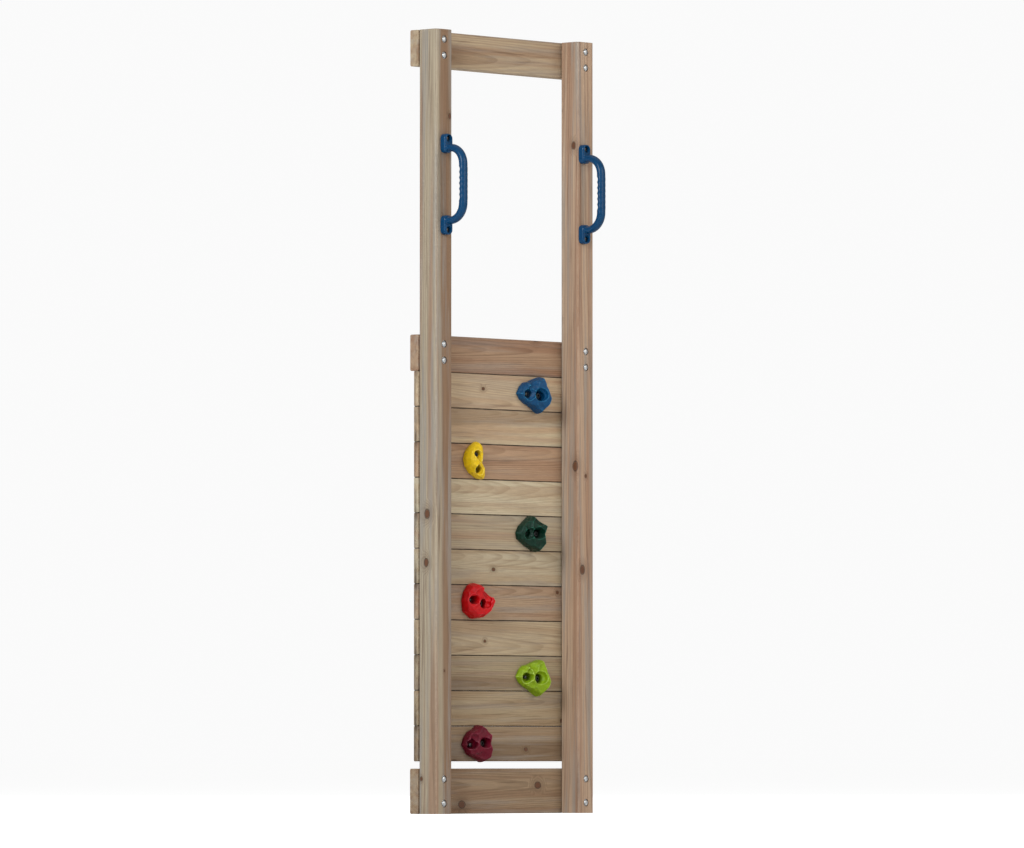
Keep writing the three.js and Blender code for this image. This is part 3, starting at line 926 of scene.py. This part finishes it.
def frame_bolt(node):
    """Domed head and washer in front, washer, nut and thread behind."""
    low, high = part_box(node)
    x, _, z = middle(node)
    seat = low.y + DOME[1]
    back = high.y - THREAD_PAST_NUT
    shank = FRAME_SHANK / 2
    steps = dome_steps(low.y, DOME[0] / 2, DOME[1])
    steps += [(seat + STEP, shank), (back - NUT[1] - 1.0 * MM, shank)]
    steps += thread_steps(back - 0.4 * MM, high.y - 0.5 * MM, shank)
    steps += [(high.y - 0.4 * MM, shank * 0.97), (high.y, shank * 0.8)]
    bolt = turned("bolt", x, z, steps, 40)
    return joined(
        bolt,
        washer(x, z, seat, *WASHER),
        nut(x, z, back - NUT[1], *NUT),
        washer(x, z, back - NUT[1] - WASHER[1], *WASHER),
    )


def hold_bolt(node):
    """A cap head with a hexagon socket and a plain shank, threaded at its end."""
    low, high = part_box(node)
    x, _, z = middle(node)
    head = HOLD_HEAD[0] / 2
    seat = low.y + HOLD_HEAD[1]
    shank = HOLD_SHANK / 2
    steps = [(low.y, head - 0.7 * MM), (low.y + 0.7 * MM, head)]
    steps += [(seat - 0.2 * MM, head), (seat, head - 0.2 * MM)]
    steps += [(seat + STEP, shank), (high.y - HOLD_THREAD, shank)]
    steps += thread_steps(high.y - HOLD_THREAD, high.y - 0.8 * MM, shank)
    steps.append((high.y, shank * 0.78))
    bolt = turned("bolt", x, z, steps, 36)
    return cut(bolt, hexagon(x, z, HOLD_SOCKET[0], low.y - MM, low.y + HOLD_SOCKET[1]))


def tee_nut(node):
    """A round flange with four slots cut where its prongs would be, on a barrel with a plain bore."""
    low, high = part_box(node)
    x, _, z = middle(node)
    flange = TEE_FLANGE[0] / 2
    barrel = TEE_BARREL / 2
    back = high.y
    front = back - TEE_FLANGE[1]
    lip = 0.3 * MM
    steps = [(low.y, barrel - 0.6 * MM), (low.y + 0.6 * MM, barrel), (front - 0.8 * MM, barrel)]
    steps += [(front, barrel + 0.9 * MM), (front + STEP, flange - lip)]
    steps += [(front + lip, flange), (back - lip, flange), (back, flange - lip)]
    piece = turned("tee", x, z, steps, 40)
    cut(piece, peg(x, z, HOLD_SHANK + SHANK_GAP / 2, low.y - MM, back + MM, 32))
    for quarter in range(4):
        turn = math.pi / 4 + quarter * math.pi / 2
        across = x + TEE_SLOT_REACH * math.cos(turn)
        up = z + TEE_SLOT_REACH * math.sin(turn)
        clear_bench()
        bpy.ops.mesh.primitive_cube_add(size=1, location=(across, back, up), rotation=(0, -turn, 0))
        bpy.context.object.scale = TEE_SLOT
        cut(piece, settle("slot"))
    return piece


def driven_screw(node, head, shank):
    """A screw with a head, a six-sided socket and a ridged, pointed shank."""
    low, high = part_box(node)
    x, _, z = middle(node)
    radius, height = head[0] / 2, head[1]
    steps = dome_steps(low.y, radius, height, 5, 0.6 * MM)
    seat = low.y + height
    steps.append((seat + STEP, shank / 2))
    steps += thread_steps(seat + 1.5 * MM, high.y - 4 * MM, shank / 2, 2.2 * MM)
    steps += [(high.y - 3 * MM, shank / 2 * 0.8), (high.y, shank / 2 * 0.1)]
    screw = turned("screw", x, z, steps, 28)
    return cut(screw, hexagon(x, z, radius * 0.62, low.y - MM, low.y + height * 0.62))


def in_every_place(make, nodes, finish):
    """Models a fixing at its first node and puts a copy at each of the others."""
    first = smooth_off(make(nodes[0]))
    for node in nodes:
        shift = middle(node) - middle(nodes[0])
        shift.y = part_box(node)[0].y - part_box(nodes[0])[0].y
        hand_over(copy_of(first, node + "_fixing", shift), finish, "zinc_fixings", node)
    bpy.data.objects.remove(first)


in_every_place(frame_bolt, FRAME_BOLTS, bright_zinc)
in_every_place(hold_bolt, [f"hold_{colour}_bolt" for colour in COLOURS], black_zinc_and_recess_shade)
in_every_place(tee_nut, [f"hold_{colour}_tee_nut" for colour in COLOURS], dull_zinc)
in_every_place(
    lambda node: driven_screw(node, PIN_HEAD, PIN_SHANK),
    [f"hold_{colour}_pin_screw" for colour in COLOURS],
    black_zinc_and_recess_shade,
)
in_every_place(
    lambda node: driven_screw(node, HANDLE_HEAD, HANDLE_SHANK),
    [f"handle_{side}_screw_{level}" for side in SIDES for level in LEVELS],
    black_zinc_and_recess_shade,
)


def board_screw():
    """A countersunk screw, driven from behind, with its head level with the board's back."""
    low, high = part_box(BOARDS[0])
    x, back, z = middle("left_post").x, high.y, (low.z + high.z) / 2
    tip = back - BOARD_THICKNESS - BOARD_SCREW_BITE
    head = BOARD_SCREW_HEAD / 2
    shank = BOARD_SCREW_SHANK / 2
    steps = [(back + 0.25 * MM, head * 0.94), (back + 0.05 * MM, head)]
    steps += [(back - 2.6 * MM, shank), (back - 12 * MM, shank * 0.86)]
    y = back - 14 * MM
    while y > tip + 4 * MM:
        steps += [(y, shank * 0.8), (y - 1.2 * MM, shank)]
        y -= 2.4 * MM
    steps.append((tip, shank * 0.1))
    screw = turned("screw", x, z, steps, 20)
    across, deep = BOARD_SCREW_SOCKET
    return smooth_off(cut(screw, hexagon(x, z, across, back - deep, back + MM))), Vector((x, back, z))


pattern, start = board_screw()
for index, node in enumerate(BOARDS):
    low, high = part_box(node)
    for side in SIDES:
        for level, share in zip(LEVELS, (0.2, 0.8)):
            x = middle(f"{side}_post").x + draw.uniform(-2, 2) * MM
            place = Vector((x, start.y, low.z + share * (high.z - low.z)))
            place.z += draw.uniform(-1.5, 1.5) * MM
            made = copy_of(pattern, f"board_screw_{index + 1:02d}_{side}_{level}", place - start)
            hand_over(made, dull_zinc, "zinc_fixings")
bpy.data.objects.remove(pattern)


# ---- holds and handles


def merged_copy(node, name):
    """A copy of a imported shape, with its loose triangles merged. They already look outward."""
    piece = bring_in(name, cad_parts[node].data.copy())
    open_up(piece)
    bpy.ops.mesh.remove_doubles(threshold=2e-6)
    return close_up(piece)


def one_skin(piece, voxel, passes):
    """Makes a piece one even skin and softens it, as moulded plastic is."""
    run_modifier(piece, "REMESH", mode="VOXEL", voxel_size=voxel, use_smooth_shade=True)
    return run_modifier(piece, "SMOOTH", factor=0.5, iterations=passes)


def funnel(x, z, narrow, wide, seat, front):
    """A tapered cutter along Y: narrow at the seat and wide at the front."""
    clear_bench()
    bpy.ops.mesh.primitive_cone_add(
        vertices=44,
        radius1=narrow / 2,
        radius2=wide / 2,
        depth=seat - front,
        location=(x, (seat + front) / 2, z),
        rotation=(math.pi / 2, 0, 0),
    )
    return settle("funnel")


def ball(place, radius):
    clear_bench()
    bpy.ops.mesh.primitive_ico_sphere_add(subdivisions=4, radius=radius, location=place)
    return settle("ball")


def felt_round(piece, x, z, reach):
    """Feels for a piece's front at eight places on a ring: which side, where, and facing where."""
    for step in range(8):
        turn = step * math.pi / 4
        side = Vector((math.cos(turn), 0, math.sin(turn)))
        hit, place, facing, _ = piece.ray_cast(Vector((x, -0.3, z)) + side * reach, Vector((0, 1, 0)))
        if hit:
            yield side, place, facing


def dish(piece, x, z, radius, depth):
    """Scoops a round hollow out of a piece's front, this deep below the skin around (x, z)."""
    found = [place.y for _, place, _ in felt_round(piece, x, z, 10 * MM)]
    if not found:
        return
    skin = sorted(found)[len(found) // 3]
    cut(piece, ball((x, skin - radius + depth, z), radius))


def chip(piece, core, turn, rise, radius, depth):
    """Knocks a shallow chip off a piece, seen from its core along the direction (turn, rise)."""
    out = Vector((math.cos(turn) * math.cos(rise), -math.sin(rise), math.sin(turn) * math.cos(rise)))
    hit, place, normal, _ = piece.ray_cast(core + out * 0.2, -out)
    if hit:
        cut(piece, ball(place + normal * (radius - depth), radius))


# base colour, crest colour (rubbed wear and a painted highlight), roughness, hollows as (x, z, radius,
# depth) from the middle in mm
HOLD_LOOKS = {
    "blue": (
        (0, 62, 98), (62, 150, 188), 0.36,
        [(14, 1, 18, 12), (-15, 15, 8, 7), (-12, -25, 26, 4), (-5, 37, 20, 5)],
    ),
    "yellow": (
        (222, 182, 24), (250, 230, 120), 0.38,
        [(10, 10, 18, 5), (16, -12, 17, 6), (-20, 26, 20, 5), (-24, -14, 20, 3), (-12, -30, 18, 3)],
    ),
    "dark_green": (
        (0, 42, 30), (52, 118, 98), 0.36,
        [
            (12, 2, 15, 11), (-14, 14, 8, 8), (-16, -27, 24, 5),
            (-18, 27, 19, 6), (17, 38, 18, 5), (16, -30, 18, 3),
        ],
    ),
    "red": (
        (176, 0, 16), (232, 84, 94), 0.36,
        [
            (19, 17, 10, 12), (18, 4, 10, 13), (18, -9, 10, 11),
            (-12, 20, 8, 4), (-12, 7, 8, 5), (-30, 2, 20, 4),
        ],
    ),
    "lime": (
        (120, 145, 14), (200, 220, 122), 0.36,
        [(14, 1, 18, 12), (-15, 16, 8, 8), (-14, -25, 24, 5), (-4, 37, 20, 5)],
    ),
    "maroon": (
        (94, 8, 32), (164, 84, 100), 0.38,
        [
            (12, 3, 14, 9), (-14, 11, 8, 7), (-24, 22, 20, 5),
            (-20, -24, 20, 4), (8, -32, 18, 5), (14, 36, 20, 4),
        ],
    ),
}


def recess_radius(size, up):
    """How wide a recess is, this far above its seat."""
    return size / 2 + HOLE_FLARE / 2 * up / HOLE_LENGTH


def blunt_rim(piece, x, z, size, seat):
    """Rounds a recess's rim off wherever the stone falls away so steeply that it would be an edge."""
    for side, place, facing in felt_round(piece, x, z, size / 2 + 3.5 * MM):
        flat = facing.y < -0.86 or facing.dot(side) < 0
        if flat or place.y > seat + 2 * MM:
            continue
        reach = recess_radius(size, seat - place.y) + 3 * MM
        level = min(place.y - 3 * MM, seat - 0.5 * MM - reach)
        cut(piece, ball(Vector((x, level, z)) + side * 3 * MM, reach))


def mark_recess_shade(piece, holes):
    """Notes how far down a recess each point lies, from 0 at the rim to 1 at the seat, for the painted
    shade that darkens the recess.
    """

    def deepest(place):
        most = 0.0
        for x, z, size, seat in holes:
            up = seat - place.y
            away = math.hypot(place.x - x, place.z - z)
            if away < recess_radius(size, up) + 0.7 * MM and up > -MM:
                most = max(most, 1 - max(0.0, up - 4 * MM) / (14 * MM))
        return most

    mark(piece, "deep", deepest)


for colour, (base, rubbed, roughness, hollows) in HOLD_LOOKS.items():
    node = f"hold_{colour}"
    stone = merged_copy(node, node + "_moulding")
    heart = middle(node)
    heart.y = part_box(node)[1].y
    for x, z, radius, depth in hollows:
        dish(stone, heart.x + x * MM, heart.z + z * MM, radius * MM, depth * MM)
    core = heart + Vector((0, -8 * MM, 0))
    for step in range(HOLD_CHIPS):
        turn = step * 2 * math.pi / HOLD_CHIPS + draw.uniform(-0.25, 0.25)
        rise = draw.uniform(0.1, 1.0)
        chip(stone, core, turn, rise, draw.uniform(9, 16) * MM, draw.uniform(0.8, 1.8) * MM)
    holes = []
    for kind, head, size in (("bolt", HOLD_HEAD, HOLD_RECESS), ("pin_screw", PIN_HEAD, PIN_RECESS)):
        x, _, z = middle(f"{node}_{kind}")
        holes.append((x, z, size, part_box(f"{node}_{kind}")[0].y + head[1]))
    one_skin(stone, 1.1 * MM, 1)
    for x, z, size, seat in holes:
        cut(stone, funnel(x, z, size, size + HOLE_FLARE, seat, seat - HOLE_LENGTH))
    blunt_rim(stone, *holes[1])
    one_skin(stone, 1.0 * MM, 6)
    for x, z, size, seat in holes:
        cut(stone, funnel(x, z, size - 2 * MM, size - 2 * MM, seat, seat - 3 * MM))
    # paints shade down the recesses
    mark_recess_shade(stone, holes)
    soften(stone, MOULDED_CREASE)
    finish = plastic_finish(
        f"hold_{colour}_plastic",
        rgb(*base),
        rgb(*rubbed),
        roughness,
        {"Grain Size": 1.1 * MM, "Grain": 1.0, "Mottle": 0.7, "Rub": 0.75, "Dust": 0.03},
        (0.9 * MM, 0.6),
    )
    hand_over(stone, finish, f"hold_{colour}_plastic", node)

# blue plastic for the handles; its paler crest colour is rubbing and a painted highlight along the grip
handle_finish = plastic_finish(
    "handle_plastic",
    rgb(0, 58, 92),
    rgb(24, 92, 130),
    0.3,
    {"Grain Size": 0.6 * MM, "Grain": 0.6, "Mottle": 0.3, "Rub": 0.35, "Dust": 0.05},
    (0.25 * MM, 0.4),
)


def grip(name, x, face, z, half):
    """The bent bar of a handle, drawn out ring by ring, with hollows for the fingers inside."""
    root = half - GRIP_ROOT_INSET
    hub = Vector((x, face - GRIP_SUNK, z - root))
    clear_bench()
    bpy.ops.mesh.primitive_circle_add(
        vertices=32, radius=GRIP[0] / 2, location=hub, rotation=(math.pi / 2, 0, 0)
    )
    bar = settle(name)
    bpy.ops.object.mode_set(mode="EDIT")
    bpy.ops.mesh.select_mode(type="EDGE")
    bpy.ops.mesh.select_all(action="SELECT")
    bpy.ops.transform.resize(value=(1, 1, GRIP[1] / GRIP[0]), center_override=hub)
    bpy.ops.mesh.edge_face_add()

    def draw_out(length, heading, rows, turn=0.0):
        """Draws the bar's end out in rows, along a heading that turns from -Y towards +Z."""
        nonlocal hub
        for _ in range(rows):
            move = (0, -length * math.cos(heading + turn / 2), length * math.sin(heading + turn / 2))
            bpy.ops.mesh.extrude_region_move(TRANSFORM_OT_translate={"value": move})
            hub = hub + Vector(move)
            heading += turn
            if turn:
                # with no window the operator turns the other way, so the sign is the far one
                bpy.ops.transform.rotate(value=turn, orient_axis="X", center_override=hub)

    quarter = math.pi / 2
    bend = quarter / GRIP_BEND_ROWS
    chord = 2 * GRIP_CORNER * math.sin(bend / 2)
    straight = (GRIP_REACH - GRIP_CORNER - GRIP_SUNK) / 4
    run = 2 * (root - GRIP_CORNER)
    pitch = run / GRIP_ROWS
    draw_out(straight, 0.0, 4)
    draw_out(chord, 0.0, GRIP_BEND_ROWS, bend)
    draw_out(pitch, quarter, GRIP_ROWS)
    draw_out(chord, quarter, GRIP_BEND_ROWS, bend)
    draw_out(straight, 2 * quarter, 4)
    outer = face - GRIP_REACH - GRIP[1] / 2
    for step in range(1, GRIP_ROWS):
        height = z - run / 2 + step * pitch
        share = (height - z) / SCALLOP_PITCH + SCALLOPS / 2
        if not 0 < share < SCALLOPS:
            continue
        hollow = 1 - (2 * (share % 1) - 1) ** 2
        near = outer + 24 * MM
        choose(bar, "VERT", lambda part: abs(part.co.z - height) < 0.3 * pitch and part.co.y < near)
        squeeze = 1 - SCALLOP_DEPTH * hollow / GRIP[1]
        bpy.ops.transform.resize(value=(1, squeeze, 1), center_override=(x, outer, height))
    bpy.ops.object.mode_set(mode="OBJECT")
    return outward(bar)


def foot(x, face, z):
    """A rounded block with its four corners well rounded and its front rim softened."""
    clear_bench()
    bpy.ops.mesh.primitive_cube_add(size=1, location=(x, face - FOOT[1] / 2, z))
    bpy.context.object.scale = FOOT
    block = settle("foot")

    def runs_back(part):
        run = part.verts[1].co - part.verts[0].co
        return abs(run.y) > 0.9 * run.length

    def at_front(part):
        return all(abs(v.co.y - face + FOOT[1]) < 1e-6 for v in part.verts)

    open_up(block)
    round_off(block, runs_back, FOOT_CORNER, 8)
    round_off(block, at_front, FOOT_RIM, 5)
    return outward(close_up(block))


for side in SIDES:
    node = f"handle_{side}"
    low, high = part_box(node)
    x, _, z = middle(node)
    half = (high.z - low.z) / 2
    face = high.y
    handle = grip(node + "_moulding", x, face, z, half)
    for end in (-1, 1):
        combine(handle, foot(x, face, z + end * (half - FOOT[2] / 2)), "UNION")
    one_skin(handle, 0.95 * MM, 3)
    for level in LEVELS:
        screw = f"{node}_screw_{level}"
        screw_x, _, screw_z = middle(screw)
        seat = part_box(screw)[0].y + HANDLE_HEAD[1]
        wide = HANDLE_RECESS + 4 * MM
        cut(handle, funnel(screw_x, screw_z, HANDLE_RECESS, wide, seat, seat - 12 * MM))
    soften(handle, MOULDED_CREASE)
    hand_over(handle, handle_finish, "handle_plastic", node)


# ---- floor, light and camera

AIR_LIGHT = 0.38
AIR_SEEN = 0.96
FLOOR_RADIUS = 220.0


def studio_floor():
    """A pale floor that goes on past every camera, kept as bright as the air where it is looked at."""
    clear_bench()
    bpy.ops.mesh.primitive_circle_add(vertices=96, radius=FLOOR_RADIUS, fill_type="NGON")
    floor = settle("studio_floor")
    material, net, place = new_finish("studio_paper")
    shade = net.tint(net.noise(place, 0.6, 3.0), (0.86, 0.86, 0.855, 1), (0.9, 0.9, 0.9, 1))
    seen = net.put("LightPath").outputs["Is Camera Ray"]
    glow = net.evenly(seen, 0.0, 1.0, 0.0, AIR_SEEN - 0.88 * AIR_LIGHT)
    looks = {"Base Color": shade, "Roughness": 0.9, "Specular IOR Level": 0.0}
    looks |= {"Emission Color": WHITE, "Emission Strength": glow}
    net.feed(net.tree.nodes["Principled BSDF"], looks)
    floor.data.materials.append(material)


def soft_box(name, place, size, power, colour, aim):
    """A square lamp, size metres wide and power watts strong, that looks at aim."""
    lamp = bpy.data.lights.new(name, "AREA")
    lamp.shape = "SQUARE"
    lamp.size = size
    lamp.energy = power
    lamp.color = colour
    holder = bring_in(name, lamp)
    holder.location = place
    look_at(holder, aim)


studio_floor()
wall_middle = (packed_low + packed_high) / 2
for name, place, size, power, colour in (
    ("key_light", (-5.5, -1.9, 3.6), 2.6, 330.0, (0.86, 0.95, 1.0)),
    ("fill_light", (1.5, -6.0, 3.4), 4.0, 155.0, (1.0, 0.95, 0.88)),
    ("rear_light", (3.5, 6.5, 4.0), 4.0, 210.0, (1.0, 0.98, 0.95)),
):
    soft_box(name, place, size, power, colour, wall_middle)

world = bpy.data.worlds.new("studio_air")
world.use_nodes = True
net = Net(world.node_tree)
seen = net.put("LightPath").outputs["Is Camera Ray"]
strength = net.evenly(seen, 0.0, 1.0, AIR_LIGHT, AIR_SEEN)
net.feed(world.node_tree.nodes["Background"], {"Color": WHITE, "Strength": strength})
bpy.context.scene.world = world
bpy.context.scene.view_settings.view_transform = "Standard"

CAMERA_AWAY = 20.9
CAMERA_HEIGHT = 0.145
CAMERA_TURN = math.radians(-47.65)
CAMERA_AIM = Vector((0.0, 0.0, 0.97))
CAMERA_LENS = 295.0
CAMERA_FILM = 36.0
CAMERA_SIGHT = 200.0
lens = bpy.data.cameras.new("wall_camera")
lens.lens = CAMERA_LENS
lens.sensor_width = CAMERA_FILM
lens.clip_end = CAMERA_SIGHT
camera = bring_in("wall_camera", lens)
towards = Vector((-math.sin(CAMERA_TURN), math.cos(CAMERA_TURN), 0.0))
camera.location = Vector((0.0, 0.0, CAMERA_HEIGHT)) - towards * CAMERA_AWAY
look_at(camera, CAMERA_AIM)
bpy.context.scene.camera = camera
